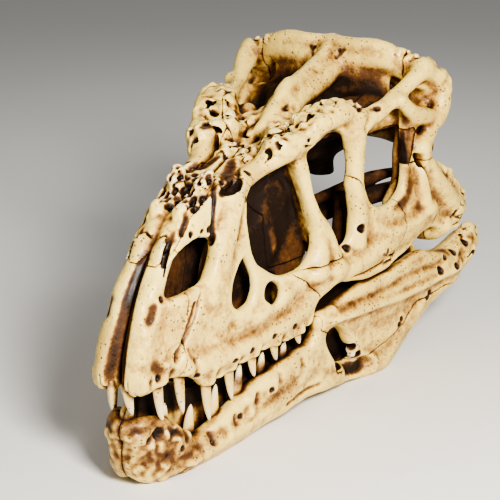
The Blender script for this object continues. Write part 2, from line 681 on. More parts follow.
# %% Sutures
FAR = 2000               # millimetres: further than anything on the skull
OUTER = ("pair", "SIDE", (0, FAR))
MIDDLE_GAP = 0.0004      # half of the seam between a left and a right bone
SEAM = 0.0003            # half of the seam between two bones of one side
SUTURE_WAVE = 0.0011     # how far a suture wanders from its course
CRANIUM_REGIONS = mm([
    ("nasal", "both", "SIDE", (-55, 55), [
        (150, 500), (215, 535), (290, 560), (420, 575), (600, 585), (632, 600), (632, 800),
        (150, 800)]),
    ("braincase", "both", "PLAN", (480, 655), [
        (760, -150), (760, 150), (1050, 150), (1080, 206), (1300, 206), (1300, -206),
        (1080, -206), (1050, -150)]),
    ("frontoparietal", "both", "PLAN", (500, 1200), [
        (632, -66), (632, 66), (720, 118), (1040, 118), (1080, 205), (1300, 205), (1300, -205),
        (1080, -205), (1040, -118), (720, -118)]),
    ("vomer", "both", "SIDE", (-40, 40), [
        (128, 200), (528, 200), (528, 590), (350, 590), (300, 360), (128, 330)]),
    ("pterygoid", "pair", "PLAN", (250, 590), [
        (528, 0.5), (528, 30), (690, 46), (760, 80), (800, 112), (1080, 112), (1080, 0.5)]),
    ("quadrate", "pair", "SIDE", (112, 262), [
        (1010, 200), (1300, 200), (1300, 618), (1010, 618)]),
    ("premaxilla", *OUTER, [
        (-200, 100), (144, 100), (150, 255), (180, 320), (215, 440), (215, 480), (185, 600),
        (-200, 600)]),
    ("maxilla", *OUTER, [
        (100, 50), (640, 50), (632, 285), (600, 330), (560, 360), (560, 500), (470, 605),
        (440, 700), (100, 700)]),
    ("lacrimal", *OUTER, [
        (400, 372), (640, 366), (720, 366), (708, 500), (712, 900), (400, 900)]),
    ("jugal", *OUTER, [
        (500, 150), (960, 150), (940, 340), (985, 400), (930, 470), (850, 480), (780, 560),
        (500, 500)]),
    ("postorbital", *OUTER, [
        (600, 300), (905, 300), (905, 700), (960, 720), (950, 900), (600, 900)]),
    ("squamosal", *OUTER, [
        (800, 530), (1400, 530), (1400, 950), (800, 950)]),
    ("quadratojugal", *OUTER, [
        (800, 150), (1400, 150), (1400, 530), (800, 530)]),
])
JAW_REGIONS = mm([
    ("dentary", *OUTER, [
        (-200, 0), (760, 0), (742, 60), (690, 60), (690, 160), (628, 200), (612, 400),
        (-200, 400)]),
    ("angular", *OUTER, [
        (640, 0), (1400, 0), (1400, 120), (1140, 158), (1020, 150), (930, 98), (830, 68),
        (640, 68)]),
    ("surangular", *OUTER, [
        (500, 0), (1500, 0), (1500, 500), (500, 500)]),
])

# %% [markdown]
# ## Relief
#
# Ridges, grooves and shallow pits are drawn on paper as strokes: a line with a width
# and a height. The side strokes push the outer wall of the face in or out, and the
# roof strokes do the same from above. What is deeper than that is cut out as a bar,
# with an amount of stain that ran into it. A foramen, the hole where a vessel left
# the bone, is a short blind bore.

# %% Strokes of relief
# A stroke is its width, its height (negative for a groove) and the points it runs
# through: (distance back, height) on the side, (distance back, half width) on the roof.
SIDE_STROKES = mm([
    # Edge of the premaxilla: a deep crack that ends in a pit, and the fold before it.
    (4.5, -15, (246, 412), (234, 383), (205, 350), (146, 300)),
    (7, -14, (152, 306), (142, 296)),
    (8, 7, (243, 430), (222, 406), (200, 368)),
    # Swells of the maxilla: before the large window, and along the foot of it.
    (22, 7, (430, 600), (372, 500), (335, 420), (312, 350)),
    (18, 7, (430, 300), (540, 330), (620, 350), (700, 345)),
    (20, -5, (330, 270), (450, 265), (580, 285)),
    (16, -5, (250, 330), (300, 300), (340, 310)),
    # Front of the snout: two shallow stained hollows.
    (11, -6, (100, 430), (88, 400)),
    (16, -6, (78, 300), (100, 290)),
    # Cheek: seams of the jugal, and the groove of the quadratojugal.
    (4, -6, (760, 300), (850, 300), (900, 312), (950, 300)),
    (6, -12, (1040, 545), (1056, 501), (1078, 455), (1093, 424)),
    (12, -12, (842, 668), (880, 690), (908, 705)),
    (16, -8, (1075, 600), (1105, 625), (1135, 650)),
    (14, 6, (860, 400), (930, 375), (1020, 380), (1100, 400)),
])
ROOF_STROKES = mm([
    # Furrow of the frontals beside the crest, and the seam of the nasals.
    (9, -8, (640, 30), (690, 36), (730, 30)),
    (5, -6, (280, 0), (450, 0), (620, 0)),
    (5, -8, (430, 46), (520, 50), (600, 66)),
])
JAW_STROKES = mm([
    # The shelf of the surangular, with the stained gutter above it.
    (12, 11, (672, 214), (788, 205), (983, 188), (1190, 197)),
    (13, -9, (700, 238), (850, 232), (1020, 236), (1110, 230)),
    (22, -5, (740, 160), (860, 140), (1000, 150)),
    # Bowl behind the window of the jaw, and its curled rim.
    (20, -22, (745, 50), (775, 42), (805, 40)),
    (7, 8, (730, 85), (790, 78), (838, 50), (830, 18)),
    # Grooves and swells of the dentary.
    (6, -6, (500, 50), (560, 60), (620, 58)),
    (18, 5, (200, 30), (350, 50), (500, 80), (600, 120)),
    (14, -5, (180, 55), (300, 75), (420, 105)),
])

# %% Cuts and foramina
# Grooves and holes cut right into the bone: name, amount of stain, and bar.
FACE_CUTS = marks({
    "second crack of the jugal": (0.85, [(874, 272, 340, 2), (878, 270, 306, 3)]),
    "crack of the jugal": (0.85, [(858, 270, 330, 3), (888, 270, 314, 2)]),
    "foramen under the orbit": (1.0, [(742, 226, 381, 9), (742, 212, 380, 8)]),
    "foramen of the cheek bar": (1.0, [(787, 236, 420, 10), (787, 222, 418, 8)]),
    "lacrimal slot, lower end": (0.62, [(378, 76, 612, 8), (400, 74, 614, 16), (426, 74, 608, 20),
        (444, 70, 618, 20)]),
    "slot in front of the maxilla": (0.45, [(222, 90, 402, 5), (196, 92, 360, 6),
        (176, 90, 330, 8)]),
    "premaxilla pit": (0.42, [(104, 61, 430, 11), (92, 60, 406, 12)]),
    "foam pit 6": (0.85, [(284, 70, 532, 4), (284, 62, 524, 4)]),
    "foam pit 5": (0.85, [(316, 74, 545, 5), (316, 66, 537, 5)]),
    "foam pit 4": (0.85, [(302, 66, 562, 4.5), (302, 58, 554, 4.5)]),
    "foam pit 3": (0.85, [(291, 67, 548, 5), (291, 59, 540, 5)]),
    "foam pit 2": (0.85, [(272, 58, 564, 5), (272, 50, 556, 5)]),
    "foam pit 1": (0.85, [(256, 64, 550, 4.5), (256, 56, 542, 4.5)]),
    "second pit of the nuchal wall": (0.9, [(1054, 48, 778, 3), (1068, 36, 790, 3)]),
    "groove between the snout bones": (0.7, [(205, 0, 576, 8), (150, 0, 510, 12),
        (95, 0, 444, 15), (52, 0, 376, 20), (22, 0, 310, 26), (8, 0, 255, 28)]),
    "slot of the premaxilla": (0.9, [(220, 42, 566, 5), (190, 42, 534, 7), (164, 42, 486, 7),
        (150, 44, 452, 5)]),
    "slot on the nasal": (0.85, [(262, 52, 588, 4), (246, 54, 572, 6), (232, 54, 556, 4)]),
    "lacrimal slot": (0.62, [(400, 66, 628, 12), (440, 56, 640, 24), (480, 40, 650, 26),
        (520, 20, 658, 18)]),
    "groove beside the foam": (0.6, [(405, 52, 640, 4), (368, 62, 622, 5), (350, 69, 601, 6),
        (330, 77, 561, 6), (326, 78, 520, 7)]),
    "foam hollow": (0.8, [(322, 76, 520, 7), (330, 70, 508, 7)]),
    "temporal opening": (0.55, [(1006, 300, 708, 13), (1050, 300, 698, 19),
        (1092, 310, 688, 18)]),
    "temporal opening, inner end": (0.75, [(1020, 235, 708, 13), (1052, 235, 700, 20),
        (1088, 235, 690, 19)]),
    "brow pit": (0.9, [(668, 118, 712, 7), (676, 122, 690, 8)]),
    "second brow pit": (0.9, [(690, 142, 730, 5), (704, 146, 704, 6)]),
    "frontal pit": (0.85, [(640, 90, 700, 6), (652, 98, 664, 8)]),
    "pit of the nuchal wall": (0.9, [(1052, 34, 772, 3), (1068, 48, 792, 3)]),
    "hollow of the temporal bar": (0.45, [(845, 198, 724, 9), (880, 206, 712, 12),
        (915, 216, 694, 9)]),
})
JAW_CUTS = marks({
    "lower end of the window": (1.0, [(757, 226, 108, 12), (757, 190, 108, 12)]),
    "foot of the window": (1.0, [(776, 232, 82, 11), (776, 196, 82, 11)]),
})
# A foramen is (distance back, height, radius, depth) on the side.
FORAMINA = mm([
    (199, 237, 5, 12), (207, 219, 5, 12), (384, 233, 6, 12), (88, 271, 6, 12), (484, 628, 4, 10),
    (455, 575, 4, 10), (393, 504, 4, 10), (131, 439, 5, 10), (470, 238, 5, 10), (545, 238, 5, 10),
    (320, 232, 4.5, 10), (917, 300, 5, 10),
])
JAW_FORAMINA = mm([
    (1102, 213, 10, 9), (1064, 160, 5, 8), (1056, 148, 5, 8), (946, 124, 4.5, 8),
    (936, 112, 4.5, 8), (1168, 205, 9, 10), (1176, 240, 6, 9), (1235, 250, 7, 10),
    (1262, 215, 6, 9), (1130, 240, 5, 8), (240, 52, 4, 8), (340, 80, 4.5, 8), (440, 112, 4.5, 8),
    (150, 75, 5, 8),
])

# %% [markdown]
# ## Rough bone, foam and stain
#
# Where muscle or horn sat on the bone it is rugose: knobs with slits between them.
# The roof of the snout is worn down to the foam inside it, rows of small long cells.
# Both follow a rule, so a place and a few sizes are all they need. Stain is listed
# where it lies on an even surface or deep inside; in pits it comes by itself.

# %% Rough patches, foam and folds
# Rugose patches are the height of their knobs, the depth of their slits, and bars.
FACE_ROUGH = mm([
    (4.5, 14, [(585, 110, 690, 30), (655, 90, 700, 40)]),
    (5.5, 16, [(690, 120, 715, 45), (750, 150, 735, 50), (825, 195, 740, 34)]),
    (3.5, 13, [(550, 85, 664, 26), (600, 140, 672, 28), (660, 165, 694, 28)]),
    (4.8, 14, [(575, 30, 650, 34), (700, 60, 680, 44), (790, 60, 690, 34)]),
    (3.4, 12, [(210, 30, 565, 24), (300, 40, 610, 26), (460, 50, 640, 26)]),
    (6, 6, [(1100, 200, 800, 24), (1170, 260, 770, 36), (1190, 290, 690, 30)]),
    (5, 6, [(1130, 300, 600, 20), (1150, 305, 520, 24), (1200, 310, 440, 30)]),
    (2, 7, [(885, 250, 318, 18), (935, 260, 295, 18)]),
    (3.5, 6, [(1210, 310, 300, 36), (1270, 320, 380, 36)]),
    (2, 4, [(30, 30, 260, 24), (100, 70, 250, 24)]),
])
JAW_ROUGH = mm([
    (5.5, 1.2, [(50, 30, 120, 34), (130, 72, 108, 30)]),
    (4.6, 3, [(50, 30, 50, 40), (180, 90, 26, 36)]),
    (3.8, 7, [(1210, 330, 210, 36), (1300, 335, 250, 44)]),
    (2.5, 5, [(660, 215, 225, 20), (720, 225, 210, 16)]),
])
# Foam of cells on the roof of the snout: where it starts and ends, rows and columns.
FOAM_BACK = (0.284, 0.430)
FOAM_WIDTH = (0.000, 0.058)
FOAM_ROWS, FOAM_COLUMNS = 4, 5
FOAM_CELL = 0.0064       # half the width of a cell
FOAM_LENGTH = 0.0075     # how far a cell reaches from its middle, without its round ends
FOAM_DEPTH = 0.012
FOAM_WANDER = (0.0012, 0.0010)   # how far a cell strays from its place
# Folds of the inner wall of the snout: height and bars.
FOLDS = mm([
    (10, [(520, 70, 400, 30), (580, 82, 460, 44), (610, 84, 530, 36)]),
])

# %% Stain
# Stain on the surface is an amount, a softness and the bar it fills.
STAINS = marks([
    # Tip of the snout, and the lower rim of the nostril's window.
    (0.26, 24, [(72, 52, 300, 24), (110, 74, 296, 26)]),
    (0.45, 10, [(160, 62, 426, 8), (215, 72, 427, 9), (262, 86, 428, 8)]),
    # Mouth and the inner wall of the jaw.
    (1.0, 16, [(110, 0, 200, 36), (250, 50, 165, 36), (420, 96, 160, 36), (600, 136, 180, 36),
        (700, 165, 262, 40), (850, 190, 262, 36), (1040, 232, 276, 36)]),
    # Crust of the chin, front of the snout, and side of the dentary.
    (0.62, 24, [(46, 10, 160, 30), (84, 44, 152, 30), (130, 68, 126, 24), (180, 90, 92, 18)]),
    (0.34, 40, [(60, 30, 80, 44), (160, 80, 50, 36), (260, 100, 70, 14)]),
    (0.1, 40, [(50, 40, 330, 40), (120, 60, 420, 40)]),
    (0.3, 20, [(440, 170, 86, 8), (520, 184, 100, 8)]),
    # Frontal hollow in front of the brow, and the brow's rear edge.
    (0.24, 30, [(600, 80, 690, 20), (660, 100, 690, 24)]),
    (0.22, 20, [(700, 100, 700, 20), (780, 130, 716, 20)]),
    # Gums of the upper teeth.
    (0.36, 10, [(45, 40, 236, 6), (150, 90, 234, 8), (240, 116, 194, 8), (430, 148, 200, 8),
        (600, 180, 210, 10)]),
    # Upper rim of the orbit, rear rim of the snout's large window, and the brow.
    (0.42, 10, [(650, 146, 676, 8), (700, 170, 682, 8), (772, 172, 660, 8), (790, 186, 600, 6)]),
    (0.4, 10, [(614, 130, 630, 8), (626, 142, 574, 9), (630, 156, 525, 9), (632, 172, 470, 8)]),
    (0.24, 24, [(540, 20, 644, 12), (690, 10, 670, 20)]),
    (0.3, 24, [(800, 40, 690, 16), (850, 46, 690, 16)]),
    # Shelf, bowl and joint of the lower jaw.
    (0.46, 14, [(740, 202, 258, 12), (860, 236, 270, 12), (960, 264, 276, 14),
        (1040, 286, 280, 18)]),
    (0.32, 14, [(640, 205, 228, 12), (800, 232, 222, 10)]),
    (0.8, 12, [(745, 212, 50, 14), (790, 222, 42, 20)]),
    (1.0, 20, [(680, 140, 130, 40), (790, 160, 90, 40)]),
    (0.45, 20, [(1080, 290, 285, 20), (1150, 310, 250, 24)]),
    (0.2, 30, [(1190, 320, 220, 30), (1300, 330, 260, 30)]),
    # Temporal basin, inner wall of the snout, and facet of the squamosal.
    (0.16, 30, [(830, 44, 690, 16), (980, 50, 720, 20)]),
    (0.52, 20, [(400, 50, 360, 40), (520, 70, 400, 60), (620, 75, 520, 60), (480, 30, 520, 50)]),
    (0.26, 20, [(1060, 262, 630, 18), (1100, 274, 610, 18)]),
    # Rear rim of the cheek window, temporal bar and quadratojugal.
    (0.5, 12, [(1012, 246, 640, 14), (1006, 250, 536, 14), (1003, 262, 495, 16),
        (1000, 268, 462, 16), (980, 267, 438, 14), (940, 258, 434, 10)]),
    (0.35, 14, [(860, 206, 706, 12), (940, 216, 706, 10)]),
    (0.3, 16, [(1050, 282, 540, 8), (1090, 292, 430, 10)]),
    # Star of cracks under the cheek window.
    (0.4, 8, [(896, 250, 322, 4), (936, 258, 290, 4)]),
])
# Places that lie deep and are still pale, in the same way.
CLEARED = marks([
    (0.8, 24, [(1030, 20, 775, 36), (1070, 150, 768, 36), (1110, 190, 775, 40)]),
    (0.8, 18, [(1040, 30, 715, 26), (1065, 150, 715, 26)]),
    (0.55, 20, [(1030, 30, 676, 24), (1055, 150, 676, 24)]),
    (0.4, 30, [(830, 40, 690, 30), (900, 20, 700, 30)]),
    (0.6, 30, [(990, 10, 745, 40), (900, 10, 730, 30)]),
])

# %% [markdown]
# ## From the tables to the field
#
# Three helpers read the tables: one adds up the strokes, one gives the half width of
# the bone at any place of the side, and one stands each tooth in its jaw. A crown is
# no longer than the room that the closed mouth leaves it, so no tooth can cut into
# the jaw opposite.

# %% Strokes
def stroke_map(strokes, across, upward):
    """Height of the relief over one face: the sum of soft-edged strokes."""
    u, v = across[:, None], upward[None, :]
    relief = np.zeros((len(across), len(upward)), np.float32)
    for width, height, *points in strokes:
        path = flow([(*point, 0.0) for point in points], width)[:, :2]
        nearest = np.full(relief.shape, FAR_OFF, np.float32)
        for start, end in zip(path, path[1:]):
            nearest = np.minimum(nearest, squared_gap(u, v, start, end))
        relief += height * np.exp(-nearest / width**2)
    return relief


# %% Half widths
def face_width(x, z):
    """Half width of the outer face of the skull."""
    station, low, z_low, high, z_high = np.array(FACE_SECTIONS).T
    low, z_low, high, z_high = (
        np.interp(x, station, column) for column in (low, z_low, high, z_high)
    )
    rise = np.clip((z - z_low) / (z_high - z_low), 0.0, 1.0) ** 1.6
    return low * (1.0 - rise) + high * rise


def jaw_width(x, z):
    """Half width of the lower jaw, which leans in towards its lower edge."""
    lean = 0.10 * np.clip(0.10 - z, 0.0, 0.10)
    return np.interp(x, *np.array(JAW_SECTIONS).T) - lean


FACE_WIDTH = face_width(XS[:, None], ZS[None, :]).astype(np.float32)
JAW_WIDTH = jaw_width(XS[:, None], ZS[None, :]).astype(np.float32)
print("half width at the orbit", round(float(face_width(0.73, 0.5)), 3))


# %% Sockets of the teeth
def between(ends, share):
    return ends[0] + (ends[1] - ends[0]) * share


def edge_height(loop, x, upper):
    """Height of the upper or lower edge of an outline at a distance back."""
    heights = []
    for (x0, z0), (x1, z1) in zip(loop, loop[1:] + loop[:1]):
        if min(x0, x1) <= x < max(x0, x1):
            heights.append(z0 + (z1 - z0) * (x - x0) / (x1 - x0))
    return max(heights) if upper else min(heights)


def upper_teeth():
    """(gum, length, radius, direction, turn) of each crown of the right upper jaw."""
    teeth = []
    for number in range(FRONT_TEETH):
        gum = tuple(first + number * step for first, step in zip(FRONT_FIRST, FRONT_STEP))
        teeth.append((gum, FRONT_LENGTH + number * FRONT_GROWTH, FRONT_RADIUS, -1, FRONT_TURN))
    for number in range(MAXILLA_TEETH):
        share = number / (MAXILLA_TEETH - 1)
        x = between(MAXILLA_ROW, share)
        z = edge_height(FACE, x, upper=False) + UPPER_SINK
        room = z - edge_height(JAW, x + TOOTH_HOOK, upper=True) - TOOTH_CLEARANCE
        length = min(room, between(MAXILLA_LENGTHS, share ** 1.6))
        radius = between(MAXILLA_RADII, share)
        y = float(face_width(x, z)) - radius - UPPER_INSET
        teeth.append(((x, y, z), length, radius, -1, ROW_TURN))
    return teeth


def lower_teeth():
    """The same of the right lower jaw, whose crowns close inside the upper ones."""
    teeth = []
    for number in range(DENTARY_TEETH):
        share = number / (DENTARY_TEETH - 1)
        x = between(DENTARY_ROW, share)
        z = edge_height(JAW, x, upper=True) - LOWER_SINK
        room = edge_height(FACE, x + TOOTH_HOOK, upper=False) - z - TOOTH_CLEARANCE
        fullness = math.sin(math.pi * (0.10 + 0.75 * share))
        length = min(room, between(DENTARY_LENGTHS, fullness))
        radius = between(DENTARY_RADII, share)
        y = float(jaw_width(x, z)) - DENTARY_INSET
        teeth.append(((x, y, z), length, radius, 1, ROW_TURN))
    return teeth


UPPER_TEETH, LOWER_TEETH = upper_teeth(), lower_teeth()
print("teeth on one side:", len(UPPER_TEETH), "above,", len(LOWER_TEETH), "below")


# %% [markdown]
# ## The cranium's field
#
# The wall comes first, then the struts, then everything that is cut out of them,
# because a pit has to reach through whatever was added before it.

# %% Cranium and jaw
FACE_EDGE, JAW_EDGE, INNER_EDGE = 0.010, 0.014, 0.006     # rounding of a wall's edges
INNER_FILLET = 0.010     # where an inner wall grows into the rest
FACE_BAR_FILLET, INNER_BAR_FILLET, JAW_BAR_FILLET = 0.020, 0.016, 0.018


def paper_outline(loop, holes=()):
    """Distance on paper to a smooth outline with smooth holes."""
    paper = outline(smooth_loop(loop))
    for hole in holes:
        paper = np.maximum(paper, -outline(smooth_loop(hole)))
    return paper


def cranium_field():
    windows = [NARIS, FRONT_SLIT, ROUND_WINDOW, FACE_WINDOW, ORBIT, CHEEK_WINDOW,
               SQUAMOSAL_WINDOW]
    paper = paper_outline(FACE, windows)
    field = np.minimum(wall(paper, FACE_WIDTH, PLATE, FACE_EDGE), REACH)
    palate = np.full_like(FACE_WIDTH, PALATE_PLATE / 2)
    palate = wall(paper_outline(PALATE), palate, PALATE_PLATE, INNER_EDGE)
    field = blend(field, palate, INNER_FILLET)
    inner = wall(paper_outline(FOSSA), FACE_WIDTH - FOSSA_WALL, FOSSA_PLATE, INNER_EDGE)
    field = blend(field, inner, INNER_FILLET)
    add_bars(field, INNER_BARS, INNER_BAR_FILLET)
    add_bars(field, FACE_BARS, FACE_BAR_FILLET)
    return field


def jaw_field():
    paper = paper_outline(JAW, [JAW_WINDOW])
    field = np.minimum(wall(paper, JAW_WIDTH, JAW_PLATE, JAW_EDGE), REACH)
    inner = wall(paper_outline(JAW_INNER), JAW_WIDTH - INNER_WALL, INNER_PLATE, INNER_EDGE)
    field = blend(field, inner, INNER_FILLET)
    add_bars(field, JAW_BARS, JAW_BAR_FILLET)
    return field


def outer_side(width, thickness):
    """1 on the outer face of a wall and 0 on its inner face."""
    return smoothstep(YS[None, :, None] - width[:, None, :], -thickness, -0.2 * thickness)


cranium = cranium_field()
jaw = jaw_field()
print("bone in the grid:", int((cranium < 0).sum()), int((jaw < 0).sum()), "points")

# %% Rough bone
KNOBS = 0.6 * lumps(0.016, 21) + 0.4 * lumps(0.009, 22)
SLITS = (smoothstep(np.abs(lumps((0.028, 0.013, 0.013), 23)), 0.30, 0.06)
         * smoothstep(lumps(0.034, 24), -0.3, 0.3))


PATCH_OUTSIDE, PATCH_INSIDE = 0.012, 0.010     # over which a patch fades in
SLIT_STAIN, MOST_SLIT_STAIN = 80.0, 0.9        # stain for each metre of depth, and at most


def roughen(field, patches):
    """Knobs and slits over part of a surface."""
    for knob, slit, stations in patches:
        window, weight = bar_weight(stations, PATCH_OUTSIDE, PATCH_INSIDE)
        field[window] += weight * (knob * KNOBS[window] + slit * SLITS[window])
        ink(window, min(MOST_SLIT_STAIN, SLIT_STAIN * slit) * weight * SLITS[window])


# %% Foramina and foam
CUT_EDGE, FORAMEN_EDGE, FOAM_EDGE = 0.006, 0.004, 0.002   # rounding of a cut's rim
FORAMEN_STAIN = 0.9


def furthest(field, axis, places):
    """How far the bone reaches along one axis, at each place across the others."""
    bone = field < 0
    last = bone.shape[axis] - 1 - np.argmax(np.flip(bone, axis), axis=axis)
    return np.where(bone.any(axis=axis), places[last], 0.0)


def at(grid, first, u, second, v):
    """Value of a map at a place."""
    return float(grid[np.searchsorted(first, u), np.searchsorted(second, v)])


def drill(field, holes):
    """Blind holes in the side of the bone."""
    width = furthest(field, 1, YS)
    for x, z, radius, depth in holes:
        y = at(width, XS, x, ZS, z)
        bore = [(x, y + radius, z, radius), (x, y - depth, z + 0.2 * depth, 0.7 * radius)]
        cut_bars(field, {"hole": (FORAMEN_STAIN, bore)}, FORAMEN_EDGE)


def foam(field):
    """Rows of long cells in the roof of the snout, each row half a cell on."""
    height = furthest(field, 2, ZS)
    chance = np.random.default_rng(31)
    for row, column in itertools.product(range(FOAM_ROWS), range(FOAM_COLUMNS)):
        share = (column + 0.5 * (row % 2)) / FOAM_COLUMNS
        x = between(FOAM_BACK, share) + chance.normal(0, FOAM_WANDER[0])
        y = between(FOAM_WIDTH, (row + 0.5) / FOAM_ROWS) + chance.normal(0, FOAM_WANDER[1])
        z = at(height, XS, x, YS, y)
        size = FOAM_CELL * chance.uniform(0.8, 1.15)
        half = FOAM_LENGTH * chance.uniform(0.6, 1.1)
        top, low = z + 0.001, z - FOAM_DEPTH
        cell = [(x - half, y, top, size), (x + half, y, top, size)]
        deep = [(x - half, y, low, 0.8 * size), (x + half, y, low, 0.8 * size)]
        cut_bars(field, {"mouth": (0.85, cell), "bottom": (1.0, deep)}, FOAM_EDGE)


# %% Swelling of the gums and folds
ROOT_SHOWN = 0.40        # share of a crown's length over which its root swells the jaw
ROOT_SWELL, GUM_DENT = 0.0055, 0.0060
DENT_WIDTH = 0.008


def gum_relief(teeth):
    """Swelling over each tooth's root, and a dent between it and the next."""
    strokes = []
    for (x, _, z), length, radius, up, _ in teeth:
        root = ROOT_SHOWN * length
        strokes.append((0.75 * radius, ROOT_SWELL, (x, z - up * 0.002), (x, z - up * root)))
        dent = x + 1.9 * radius
        strokes.append((DENT_WIDTH, -GUM_DENT,
                        (dent, z + up * 0.004), (dent, z - up * 0.5 * root)))
    return strokes


BENDS = lumps((0.060, 0.040, 0.085), 41)
FOLD_WIDTH = 0.45
FOLD_CLEARED = 0.16      # how much less stain a ridge holds


def fold(field, table):
    """Ridges on an inner wall, which wander through each bar and catch less stain."""
    for height, stations in table:
        window, weight = bar_weight(stations, 0.020, 0.010)
        ridge = weight * smoothstep(FOLD_WIDTH - np.abs(BENDS[window]), 0.0, 0.40)
        field[window] -= height * ridge
        INK[window] -= FOLD_CLEARED * ridge


# %% Relief and stain
swell = 0.0018 * lumps(0.045, 3) + 0.0008 * lumps(0.018, 4)
cranium += swell
jaw += swell
strokes = SIDE_STROKES + gum_relief(UPPER_TEETH)
cranium -= stroke_map(strokes, XS, ZS)[:, None, :] * outer_side(FACE_WIDTH, PLATE)
above = smoothstep(ZS, 0.50, 0.60)     # roof strokes leave the palate alone
cranium -= stroke_map(ROOF_STROKES, XS, YS)[:, :, None] * above
strokes = JAW_STROKES + gum_relief(LOWER_TEETH)
jaw -= stroke_map(strokes, XS, ZS)[:, None, :] * outer_side(JAW_WIDTH, JAW_PLATE)
cut_bars(cranium, FACE_CUTS, CUT_EDGE)
cut_bars(jaw, JAW_CUTS, CUT_EDGE)
roughen(cranium, FACE_ROUGH)
roughen(jaw, JAW_ROUGH)
drill(cranium, FORAMINA)
drill(jaw, JAW_FORAMINA)
foam(cranium)
for amount, softness, stations in STAINS:
    window, weight = bar_weight(stations, softness, softness)
    ink(window, amount * weight)
for amount, softness, stations in CLEARED:
    window, weight = bar_weight(stations, softness, softness)
    INK[window] -= amount * weight
fold(cranium, FOLDS)
print("relief and stain added")

# %% [markdown]
# ## Skinning a bone
#
# The skin lies where the distance is zero. Each grid cell which the skin passes
# through gets one point, at the mean of the places where it crosses the cell's
# edges, and each grid edge that it crosses gets one face between the four cells
# around it. This gives an even mesh of four-sided faces with soft creases, and it
# is closed wherever the field is.

# %% Skin
CORNERS = list(itertools.product((0, 1), repeat=3))
CELL_EDGES = [
    (a, b) for a, b in itertools.combinations(CORNERS, 2)
    if sum(abs(p - q) for p, q in zip(a, b)) == 1
]


def skin(field):
    """Points (in grid steps) and four-sided faces of the surface where the field is 0."""
    inside = field < 0
    size = [n - 1 for n in field.shape]
    count = sum(
        inside[i:i + size[0], j:j + size[1], k:k + size[2]].astype(np.int8)
        for i, j, k in CORNERS
    )
    mixed = (count > 0) & (count < 8)
    cells = np.argwhere(mixed)
    index = np.full(mixed.shape, -1, np.int64)
    index[mixed] = np.arange(len(cells))
    value = {
        corner: field[tuple((cells + corner).T)] for corner in CORNERS
    }
    total = np.zeros((len(cells), 3))
    crossings = np.zeros(len(cells))
    for a, b in CELL_EDGES:
        cut = (value[a] < 0) != (value[b] < 0)
        t = value[a][cut] / (value[a][cut] - value[b][cut])
        total[cut] += np.array(a) + t[:, None] * (np.array(b) - np.array(a))
        crossings[cut] += 1
    points = cells + total / crossings[:, None]
    faces = []
    for axis in range(3):
        near = [slice(1, -1)] * 3
        near[axis] = slice(0, -1)
        far = list(near)
        far[axis] = slice(1, None)
        here, there = inside[tuple(near)], inside[tuple(far)]
        for first, second, order in ((here, there, 1), (there, here, -1)):
            at = np.argwhere(first & ~second)
            at += [0 if other == axis else 1 for other in range(3)]
            u, v = [other for other in range(3) if other != axis]
            du, dv = np.eye(3, dtype=int)[u], np.eye(3, dtype=int)[v]
            ring = [index[tuple((at - step).T)] for step in (du * 0, du, du + dv, dv)]
            turn = order * (-1 if axis == 1 else 1)
            faces.append(np.stack(ring[::turn], axis=1))
    return points, np.concatenate(faces)


# %% Parting into bones
def region(view, start, end, loop, wave):
    """Distance to a suture region, negative inside it, with a wandering outline."""
    if view == "SIDE":
        paper = outline(np.array(loop))[:, None, :]
        along = YS[None, :, None]
    else:
        paper = outline(np.array(loop), YS)[:, :, None]
        along = ZS[None, None, :]
    return np.maximum(paper + wave, np.maximum(start - along, along - end))


def full(field):
    """The field of both halves, from the right one."""
    return np.concatenate([field[:, ::-1], field], axis=1)


def mesh_from(name, points, faces):
    mesh = bpy.data.meshes.new(name)
    mesh.vertices.add(len(points))
    mesh.vertices.foreach_set("co", points.astype(np.float32).ravel())
    mesh.loops.add(faces.size)
    mesh.loops.foreach_set("vertex_index", faces.astype(np.int32).ravel())
    mesh.polygons.add(len(faces))
    mesh.polygons.foreach_set("loop_start", np.arange(0, faces.size, 4, dtype=np.int32))
    mesh.polygons.foreach_set("use_smooth", np.ones(len(faces), bool))
    mesh.update(calc_edges=True)
    mesh.validate()
    return mesh


def cropped(field):
    """Smallest window of the field that holds the bone, with a step to spare."""
    window = []
    for axis in range(3):
        hit = np.flatnonzero((field < 0).any(axis=tuple(i for i in range(3) if i != axis)))
        window.append(slice(max(hit[0] - 2, 0), hit[-1] + 3))
    return tuple(window)


def keep_largest(points, faces):
    """The mesh without the loose chips that a cut leaves."""
    group = np.arange(len(points))
    while True:
        low = group[faces].min(axis=1)
        lower = group.copy()
        for corner in range(4):
            np.minimum.at(lower, faces[:, corner], low)
        lower = lower[lower]
        if np.array_equal(lower, group):
            break
        group = lower
    names, sizes = np.unique(group, return_counts=True)
    kept = group == names[sizes.argmax()]
    number = np.cumsum(kept) - 1
    return points[kept], number[faces[kept[faces[:, 0]]]]


def bone_block(bone, sides):
    """Part of a bone's field that holds it, and the grid step of its first point."""
    window = cropped(bone)
    if sides == "both":
        reach = window[1].stop
        block = full(bone[window[0], :reach, window[2]])
        first = (window[0].start, -reach, window[2].start)
    else:
        block = bone[window]
        first = (window[0].start, window[1].start, window[2].start)
        if window[1].start == 0:
            past = np.maximum(block[:, :1], MIDDLE_GAP + STEP / 2)
            block = np.concatenate([past, block], axis=1)
            first = (first[0], -1, first[2])
    return np.pad(block, 1, constant_values=STEP), np.array(first) - 1


